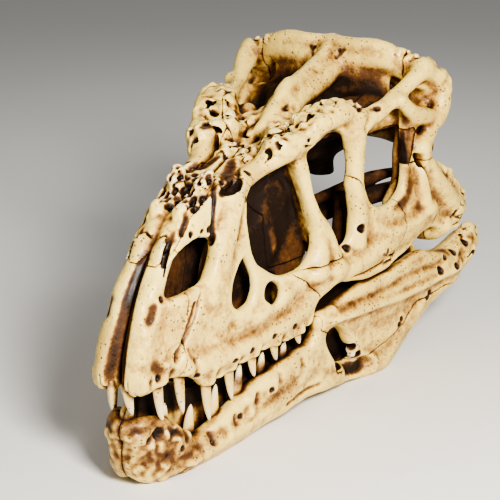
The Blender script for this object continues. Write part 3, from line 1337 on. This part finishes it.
def make_bones(field, regions):
    """Part one field into bones and skin each of them."""
    bones = {}
    wave = SUTURE_WAVE * lumps(0.016, 11)
    rest = np.maximum(field, -ZS[None, None, :])      # nothing reaches below the floor
    middle = MIDDLE_GAP - YS[None, :, None]
    for name, sides, view, (start, end), loop in regions:
        cut = region(view, start, end, loop, wave)
        bone = np.maximum(rest, cut + SEAM)
        rest = np.maximum(rest, SEAM - cut)
        if sides == "pair":
            bone = np.maximum(bone, middle)
        block, first = bone_block(bone, sides)
        points, faces = keep_largest(*skin(block))
        bones[name] = (sides, points + first, faces)
    return bones


# %% [markdown]
# ## Where stain collects
#
# A mesh alone can't tell a material how hollow a place is. So the solid is blurred
# once a little and once a lot: where the blurred solid is fuller than half, the
# surface is hollow. These values, the depth inside the skull and the listed stain
# are stored on each point of a bone as attributes, which the materials read.

# %% Hollow maps
def soften(field, radius):
    """Mean of a field in a box of this radius, taken twice."""
    reach = max(1, int(round(radius / STEP)))
    for axis in range(3):
        for _ in range(2):
            padding = [(0, 0)] * 3
            padding[axis] = (reach + 1, reach)
            mode = "symmetric" if axis == 1 else "edge"
            total = np.cumsum(np.pad(field, padding, mode=mode), axis=axis, dtype=np.float32)
            width = 2 * reach + 1
            head = [slice(None)] * 3
            tail = [slice(None)] * 3
            head[axis] = slice(width, None)
            tail[axis] = slice(0, -width)
            field = (total[tuple(head)] - total[tuple(tail)]) / width
    return field


FINE, BROAD = 0.006, 0.018   # radii of the two blurs
everything = np.minimum(cranium, jaw)
for (x, y, z), length, radius, up, _ in UPPER_TEETH + LOWER_TEETH:
    stations = [(x, y, z, radius), (x + 0.3 * radius, y, z + up * 0.5 * length, 0.8 * radius),
                (x + 0.7 * radius, y, z + up * length, 0.2 * radius)]
    window, distance = bar_field(stations, STEP)
    everything[window] = np.minimum(everything[window], distance)
solid = np.clip(0.5 - everything / STEP, 0.0, 1.0)
HOLLOWS = {"fine": soften(solid, FINE), "broad": soften(solid, BROAD)}
print("hollow maps", {name: field.shape for name, field in HOLLOWS.items()})


# %% Values stored on a mesh
BACK_FACE = 1.135        # the rear wall of the skull, which light reaches too
SKIN_DEEP, WELL_INSIDE = 0.030, 0.085    # depths between which the shade of the inside sets in
SEAM_STAIN = 0.50                        # stain on a face between two bones
SEAM_DEPTHS = (0.0015, 0.0040)


def sample(field, points):
    """Values of a field at points given in grid steps."""
    base = np.clip(np.floor(points).astype(int), 0, np.array(field.shape) - 2)
    t = (points - base).astype(np.float32)
    value = 0.0
    for corner in CORNERS:
        weight = np.prod(np.where(corner, t, 1 - t), axis=1)
        value = value + weight * field[tuple((base + corner).T)]
    return value


def inner_depth(x, y, z):
    """How far a point lies inside the outer face of the skull."""
    side = face_width(x, z) - np.abs(y)
    low = jaw_width(x, z) - np.abs(y)
    top = np.interp(x, *np.array(ROOF_LINE).T) - z
    side = np.where(z < 0.25, np.maximum(low, side * 0.5), side)
    return np.minimum(np.minimum(side, top), BACK_FACE - x)


def paint_hollows(mesh):
    """Store how hollow and how far inside each point of a placed mesh lies."""
    places = np.empty(3 * len(mesh.vertices), np.float32)
    mesh.vertices.foreach_get("co", places)
    x, y, z = places.reshape(-1, 3).T
    x, y = x - SHIFT, np.abs(y)
    steps = np.stack([(x - XS[0]), (y - YS[0]), (z - ZS[0])], axis=1) / STEP
    depth = -np.minimum(sample(cranium, steps), sample(jaw, steps))
    seam = SEAM_STAIN * smoothstep(depth, *SEAM_DEPTHS)
    values = {name: sample(field, steps) * 2 - 1 for name, field in HOLLOWS.items()}
    values["inside"] = smoothstep(inner_depth(x, y, z), SKIN_DEEP, WELL_INSIDE)
    values["stain"] = np.maximum(sample(INK, steps), seam)
    for name, value in values.items():
        layer = mesh.attributes.new(name, "FLOAT", "POINT")
        layer.data.foreach_set("value", np.asarray(value, np.float32))


def to_places(points):
    """Grid steps to placed metres."""
    return np.stack([
        XS[0] + points[:, 0] * STEP + SHIFT,
        YS[0] + points[:, 1] * STEP,
        ZS[0] + points[:, 2] * STEP,
    ], axis=1)


# %% Bones
def place_bones(bones):
    """One object for each bone, and one for its mirror image if it has a partner."""
    made = []
    for name, (sides, points, faces) in bones.items():
        places = to_places(points)
        if sides == "both":
            made.append(new_piece(name, mesh_from(name, places, faces)))
            continue
        made.append(new_piece(name + "_r", mesh_from(name + "_r", places, faces)))
        places = places * (1, -1, 1)
        made.append(new_piece(name + "_l", mesh_from(name + "_l", places, faces[:, ::-1])))
    return made


def new_piece(name, mesh):
    mesh.shade_smooth()
    paint_hollows(mesh)
    return add_object(name + "_bone", mesh)


BONES = place_bones(make_bones(cranium, CRANIUM_REGIONS))
BONES += place_bones(make_bones(jaw, JAW_REGIONS))
print(len(BONES), "bones,", 2 * sum(len(bone.data.polygons) for bone in BONES), "triangles")

# %% [markdown]
# ## Helpers for nodes
#
# Geometry and shaders are both graphs of nodes. A few helpers keep them short: one
# adds a node with its settings and inputs in one line, and the others stand for the
# nodes that come up again and again.

# %% Node helpers
def socket(tree, name, kind, direction="INPUT", default=None):
    """A named input or output of a node group."""
    made = tree.interface.new_socket(name=name, in_out=direction, socket_type=kind)
    if default is not None:
        made.default_value = default


def nodes_of(tree):
    """A short way to add a node: kind, its settings, and its inputs."""
    def add(kind, settings=(), inputs=()):
        node = tree.nodes.new(kind)
        for name, value in dict(settings).items():
            setattr(node, name, value)
        for name, value in dict(inputs).items():
            if isinstance(value, bpy.types.NodeSocket):
                tree.links.new(value, node.inputs[name])
            else:
                node.inputs[name].default_value = value
        return node
    return add


def math_node(add, operation, *values):
    node = add("ShaderNodeMath", {"operation": operation}, enumerate(values))
    return node.outputs["Value"]


def ramp(add, value, low, high):
    """A value turned into 0 to 1 between two levels, with soft ends."""
    node = add("ShaderNodeMapRange", {"interpolation_type": "SMOOTHSTEP"}, {
        "Value": value, "From Min": low, "From Max": high,
    })
    return node.outputs["Result"]


def noise_node(add, where, scale, detail=4.0, roughness=0.55, distortion=0.0):
    node = add("ShaderNodeTexNoise", {}, {
        "Vector": where, "Scale": scale, "Detail": detail,
        "Roughness": roughness, "Distortion": distortion,
    })
    return node.outputs["Fac"]


def mix_colour(add, factor, first, second):
    """Colour between two, each of which is a socket or three numbers."""
    first, second = (
        (*value, 1.0) if isinstance(value, tuple) else value for value in (first, second)
    )
    node = add("ShaderNodeMix", {"data_type": "RGBA"}, {0: factor, 6: first, 7: second})
    return node.outputs[2]


# %% [markdown]
# ## Teeth
#
# A tooth of this animal is a thick, slightly flattened cone that hooks back, with a
# fine keel along its front and its back. All the crowns are the same shape in
# different sizes, so one crown is modelled and a Geometry Nodes tree sets it on
# every socket point of a row, at that tooth's own size and turn.

# %% One crown
CROWN_SIDES = 20
CROWN_RINGS = 16
ROOT_SHARE = 0.18        # how deep the crown reaches into the bone, against its length
CROWN_KEEL = 0.07        # how far the keels stand out, against the radius
CROWN_HOOK = 0.75        # how far back the tip lies, against the radius


def crown_mesh():
    """A crown of unit length and radius that grows along +Z and hooks towards +X."""
    shape = bmesh.new()
    rings = []
    for level in range(CROWN_RINGS):
        share = level / (CROWN_RINGS - 1)
        height = share * (1 + ROOT_SHARE) - ROOT_SHARE
        out = max(height, 0.0)
        width = 0.93 * (1.0 - out ** 1.9) ** 0.62 + 0.05
        ring = []
        for side in range(CROWN_SIDES):
            turn = 2 * math.pi * side / CROWN_SIDES
            keel = 1.0 + CROWN_KEEL * abs(math.cos(turn)) ** 8
            ring.append(shape.verts.new((
                width * keel * math.cos(turn) + CROWN_HOOK * out ** 1.8,
                width * TOOTH_FLATTENING * math.sin(turn),
                height,
            )))
        rings.append(ring)
    for lower, upper in zip(rings, rings[1:]):
        for side in range(CROWN_SIDES):
            after = (side + 1) % CROWN_SIDES
            shape.faces.new((lower[side], lower[after], upper[after], upper[side]))
    shape.faces.new(rings[0][::-1])
    shape.faces.new(rings[-1])
    mesh = bpy.data.meshes.new("crown")
    shape.to_mesh(mesh)
    shape.free()
    layer = mesh.attributes.new("along", "FLOAT", "POINT")
    layer.data.foreach_set("value", [max(0.0, vertex.co.z) for vertex in mesh.vertices])
    return mesh


# %% Row tree
def row_tree():
    """Geometry Nodes: a crown on every point, sized and turned by the point's values."""
    tree = bpy.data.node_groups.new("tooth_row", "GeometryNodeTree")
    socket(tree, "Geometry", "NodeSocketGeometry")
    socket(tree, "Crown", "NodeSocketObject")
    socket(tree, "Enamel", "NodeSocketMaterial")
    socket(tree, "Thickness", "NodeSocketFloat", default=1.0)
    socket(tree, "Geometry", "NodeSocketGeometry", "OUTPUT")
    add = nodes_of(tree)
    given = add("NodeGroupInput").outputs
    size, turn = (
        add("GeometryNodeInputNamedAttribute", {"data_type": "FLOAT_VECTOR"}, {"Name": name})
        for name in ("size", "turn")
    )
    thick = add("ShaderNodeCombineXYZ", {}, {
        "X": given["Thickness"], "Y": given["Thickness"], "Z": 1.0,
    })
    scale = add("ShaderNodeVectorMath", {"operation": "MULTIPLY"}, {
        0: size.outputs["Attribute"], 1: thick.outputs["Vector"],
    })
    rotate = add("FunctionNodeEulerToRotation", {}, {"Euler": turn.outputs["Attribute"]})
    crown = add("GeometryNodeObjectInfo", {}, {"Object": given["Crown"]})
    place = add("GeometryNodeInstanceOnPoints", {}, {
        "Points": given["Geometry"], "Instance": crown.outputs["Geometry"],
        "Rotation": rotate.outputs["Rotation"], "Scale": scale.outputs["Vector"],
    })
    real = add("GeometryNodeRealizeInstances", {}, {"Geometry": place.outputs["Instances"]})
    paint = add("GeometryNodeSetMaterial", {}, {
        "Geometry": real.outputs["Geometry"], "Material": given["Enamel"],
    })
    add("NodeGroupOutput", {}, {"Geometry": paint.outputs["Geometry"]})
    return tree


def vector_layer(mesh, name, values):
    layer = mesh.attributes.new(name, "FLOAT_VECTOR", "POINT")
    layer.data.foreach_set("vector", np.array(values, np.float32).ravel())


def set_input(modifier, name, value):
    """Give a tree's input a value by its socket's identifier."""
    for item in modifier.node_group.interface.items_tree:
        if item.item_type == "SOCKET" and item.in_out == "INPUT" and item.name == name:
            modifier[item.identifier] = value


def make_row(name, teeth, mirror, tree, crown, enamel):
    """One side's row of crowns as a plain mesh."""
    points = bpy.data.meshes.new(name)
    flip = -1 if mirror else 1
    places, sizes, turns = [], [], []
    for (x, y, z), length, radius, up, turn in teeth:
        places.append((x + SHIFT, flip * y, z))
        sizes.append((radius, radius, length))
        turns.append((0.0 if up > 0 else math.pi, 0.0, flip * turn))
    points.from_pydata(places, [], [])
    vector_layer(points, "size", sizes)
    vector_layer(points, "turn", turns)
    row = add_object(name, points)
    modifier = row.modifiers.new("row", "NODES")
    modifier.node_group = tree
    set_input(modifier, "Crown", crown)
    set_input(modifier, "Enamel", enamel)
    graph = bpy.context.evaluated_depsgraph_get()
    mesh = bpy.data.meshes.new_from_object(row.evaluated_get(graph))
    row.modifiers.remove(modifier)
    row.data = mesh
    mesh.shade_smooth()
    paint_hollows(mesh)
    return row


# %% [markdown]
# ## Finishes
#
# Fossil bone and its museum casts are ivory where they are handled and lit, and
# brown to nearly black where stain has run into a pit or a seam. Two shader groups
# hold what every finish shares: one turns the hollow values of the mesh into a
# stain, the other gives the fine grain of bone.

# %% Stain group
STAIN_LEVELS = {"Tan": (-0.22, 0.22), "Brown": (0.06, 0.44), "Black": (0.38, 0.86)}
EDGE_LEVELS = (0.16, 0.60)


def stain_group():
    """Brown and black stain from how hollow and how far inside the surface lies."""
    tree = bpy.data.node_groups.new("stain", "ShaderNodeTree")
    for name in ("Fine", "Broad", "Inside", "Amount"):
        socket(tree, name, "NodeSocketFloat")
    for name in (*STAIN_LEVELS, "Edge"):
        socket(tree, name, "NodeSocketFloat", "OUTPUT")
    add = nodes_of(tree)
    given = add("NodeGroupInput").outputs
    where = add("ShaderNodeTexCoord").outputs["Object"]
    blotch = noise_node(add, where, 15.0, 7.0, 0.68, 0.8)
    speck = noise_node(add, where, 75.0, 8.0, 0.72)
    wander = math_node(add, "MULTIPLY_ADD", blotch, 0.70, -0.35)
    speck = math_node(add, "MULTIPLY_ADD", speck, 0.90, -0.45)
    wander = math_node(add, "ADD", wander, speck)
    fine = math_node(add, "MULTIPLY", given["Fine"], 1.25)
    hollow = math_node(add, "MULTIPLY_ADD", given["Broad"], 0.45, fine)
    hollow = math_node(add, "ADD", hollow, given["Amount"])
    hollow = math_node(add, "ADD", hollow, wander)
    deep = math_node(add, "MULTIPLY_ADD", given["Inside"], 0.75, hollow)
    levels = {name: ramp(add, deep, *ends) for name, ends in STAIN_LEVELS.items()}
    wear = math_node(add, "MULTIPLY", wander, 0.5)
    wear = math_node(add, "MULTIPLY_ADD", given["Fine"], -1.0, wear)
    levels["Edge"] = ramp(add, wear, *EDGE_LEVELS)
    add("NodeGroupOutput", {}, levels)
    return tree


# %% Grain group
def grain_group():
    """Height of the fine surface of bone, and a mask of its small pits."""
    tree = bpy.data.node_groups.new("grain", "ShaderNodeTree")
    socket(tree, "Size", "NodeSocketFloat", default=1.0)
    socket(tree, "Height", "NodeSocketFloat", "OUTPUT")
    socket(tree, "Pits", "NodeSocketFloat", "OUTPUT")
    add = nodes_of(tree)
    given = add("NodeGroupInput").outputs
    where = add("ShaderNodeTexCoord").outputs["Object"]
    scaled = add("ShaderNodeVectorMath", {"operation": "SCALE"}, {
        0: where, "Scale": given["Size"],
    })
    where = scaled.outputs["Vector"]
    broad = noise_node(add, where, 45.0, 5.0, 0.55)
    fine = noise_node(add, where, 260.0, 4.0, 0.6)
    cells = add("ShaderNodeTexVoronoi", {"feature": "F1"}, {"Vector": where, "Scale": 85.0})
    few = ramp(add, noise_node(add, where, 9.0, 3.0), 0.44, 0.58)
    pits = math_node(add, "MULTIPLY", ramp(add, cells.outputs["Distance"], 0.30, 0.12), few)
    height = math_node(add, "MULTIPLY_ADD", broad, 1.0, math_node(add, "MULTIPLY", fine, 0.22))
    height = math_node(add, "MULTIPLY_ADD", pits, -0.5, height)
    add("NodeGroupOutput", {}, {"Height": height, "Pits": pits})
    return tree


# %% Bone finishes
TAN, BROWN, BLACK = (0.42, 0.235, 0.065), (0.110, 0.045, 0.014), (0.016, 0.007, 0.003)
FINISHES = {
    # slot: (light, tan, brown, black, stain amount, bump height)
    "outer_bone": ((0.84, 0.645, 0.205), TAN, BROWN, BLACK, 0.00, 0.0030),
    "toothed_bone": ((0.84, 0.655, 0.215), TAN, BROWN, BLACK, 0.01, 0.0028),
    "inner_bone": ((0.50, 0.31, 0.12), (0.24, 0.115, 0.038), (0.075, 0.030, 0.011),
                   (0.018, 0.008, 0.004), 0.10, 0.0030),
    "enamel": ((0.76, 0.56, 0.19), (0.40, 0.22, 0.06), (0.12, 0.05, 0.016),
               (0.012, 0.006, 0.003), 0.08, 0.0010),
}
ROUGHNESS, ROUGHER_STAINED, ROUGHER_INSIDE = 0.46, 0.12, 0.28
COAT, LESS_STAINED, LESS_INSIDE = 0.22, 0.12, 0.34
COAT_ROUGHNESS = 0.22
SPECULAR_LEVEL = 0.28


def attribute(add, name):
    return add("ShaderNodeAttribute", {"attribute_name": name}).outputs["Fac"]


def between_colours(first, second, share):
    return tuple((1 - share) * a + share * b for a, b in zip(first, second))


def bone_colour(add, name, marks_of, pits):
    """Colour of a finish: mottled bone, worn edges, and stain over both."""
    light, tan, brown, black, _, _ = FINISHES[name]
    where = add("ShaderNodeTexCoord").outputs["Object"]
    mottle = ramp(add, noise_node(add, where, 9.0, 8.0, 0.68, 0.4), 0.42, 0.66)
    colour = mix_colour(add, mottle, light, between_colours(light, tan, 0.42))
    colour = mix_colour(add, marks_of["Tan"], colour, tan)
    worn = math_node(add, "MULTIPLY", marks_of["Edge"], 0.55)
    colour = mix_colour(add, worn, colour, between_colours(light, (1.0, 1.0, 1.0), 0.5))
    colour = mix_colour(add, marks_of["Brown"], colour, brown)
    colour = mix_colour(add, math_node(add, "MULTIPLY", pits, 0.8), colour, brown)
    return mix_colour(add, marks_of["Black"], colour, black)


def bone_material(name, stain, grain):
    amount, bump_height = FINISHES[name][-2:]
    made = bpy.data.materials.new(name)
    made.use_nodes = True
    tree = made.node_tree
    add = nodes_of(tree)
    inside = attribute(add, "inside")
    marks_of = add("ShaderNodeGroup", {"node_tree": stain}, {
        "Fine": attribute(add, "fine"), "Broad": attribute(add, "broad"), "Inside": inside,
        "Amount": math_node(add, "ADD", attribute(add, "stain"), amount),
    }).outputs
    grains = add("ShaderNodeGroup", {"node_tree": grain}, {"Size": 1.0}).outputs
    rough = math_node(add, "MULTIPLY_ADD", marks_of["Brown"], ROUGHER_STAINED, ROUGHNESS)
    rough = math_node(add, "MULTIPLY_ADD", inside, ROUGHER_INSIDE, rough)
    coat = math_node(add, "MULTIPLY_ADD", marks_of["Brown"], -LESS_STAINED, COAT)
    coat = math_node(add, "MULTIPLY_ADD", inside, -LESS_INSIDE, coat)
    bump = add("ShaderNodeBump", {}, {
        "Height": grains["Height"], "Distance": bump_height, "Strength": 1.0,
    })
    shader = tree.nodes["Principled BSDF"].inputs
    shader["Coat Roughness"].default_value = COAT_ROUGHNESS
    shader["Specular IOR Level"].default_value = SPECULAR_LEVEL
    for socket_name, value in (
        ("Base Color", bone_colour(add, name, marks_of, grains["Pits"])),
        ("Roughness", rough),
        ("Coat Weight", math_node(add, "MAXIMUM", coat, 0.0)),
        ("Normal", bump.outputs["Normal"]),
    ):
        tree.links.new(value, shader[socket_name])
    return made


STAIN, GRAIN = stain_group(), grain_group()
MATERIALS = {name: bone_material(name, STAIN, GRAIN) for name in FINISHES}
print("finishes:", ", ".join(MATERIALS))

# %% Rows of teeth
CROWN = bpy.data.objects.new("crown", crown_mesh())
TREE = row_tree()
ROWS = [
    make_row(f"{row}_teeth_{side}", teeth, side == "l", TREE, CROWN, MATERIALS["enamel"])
    for side in "rl" for row, teeth in (("upper", UPPER_TEETH), ("lower", LOWER_TEETH))
]
bpy.data.objects.remove(CROWN)
print("teeth rows", [len(row.data.polygons) for row in ROWS])

# %% [markdown]
# ## Pieces and nodes
#
# Every bone takes the place of the solid of the same name, and each row of teeth
# belongs to the jaw bones that it stands in. Nothing moves, so all ride on the root.

# %% Join the pieces to the frame
INNER_BONES = ("braincase", "vomer", "pterygoid", "quadrate")
TOOTHED_BONES = ("premaxilla", "maxilla", "dentary")
for bone in BONES:
    node = bone.name.removesuffix("_bone")
    stem = node.removesuffix("_l").removesuffix("_r")
    slot = "inner_bone" if stem in INNER_BONES else "outer_bone"
    slot = "toothed_bone" if stem in TOOTHED_BONES else slot
    bone.data.materials.append(MATERIALS[slot])
    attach(bone, "root")
    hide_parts(node)
for row in ROWS:
    side = row.name[-1]
    nodes = (f"premaxilla_{side}", f"maxilla_{side}") if "upper" in row.name else (
        f"dentary_{side}",)
    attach(row, "root")
    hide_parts(*nodes)
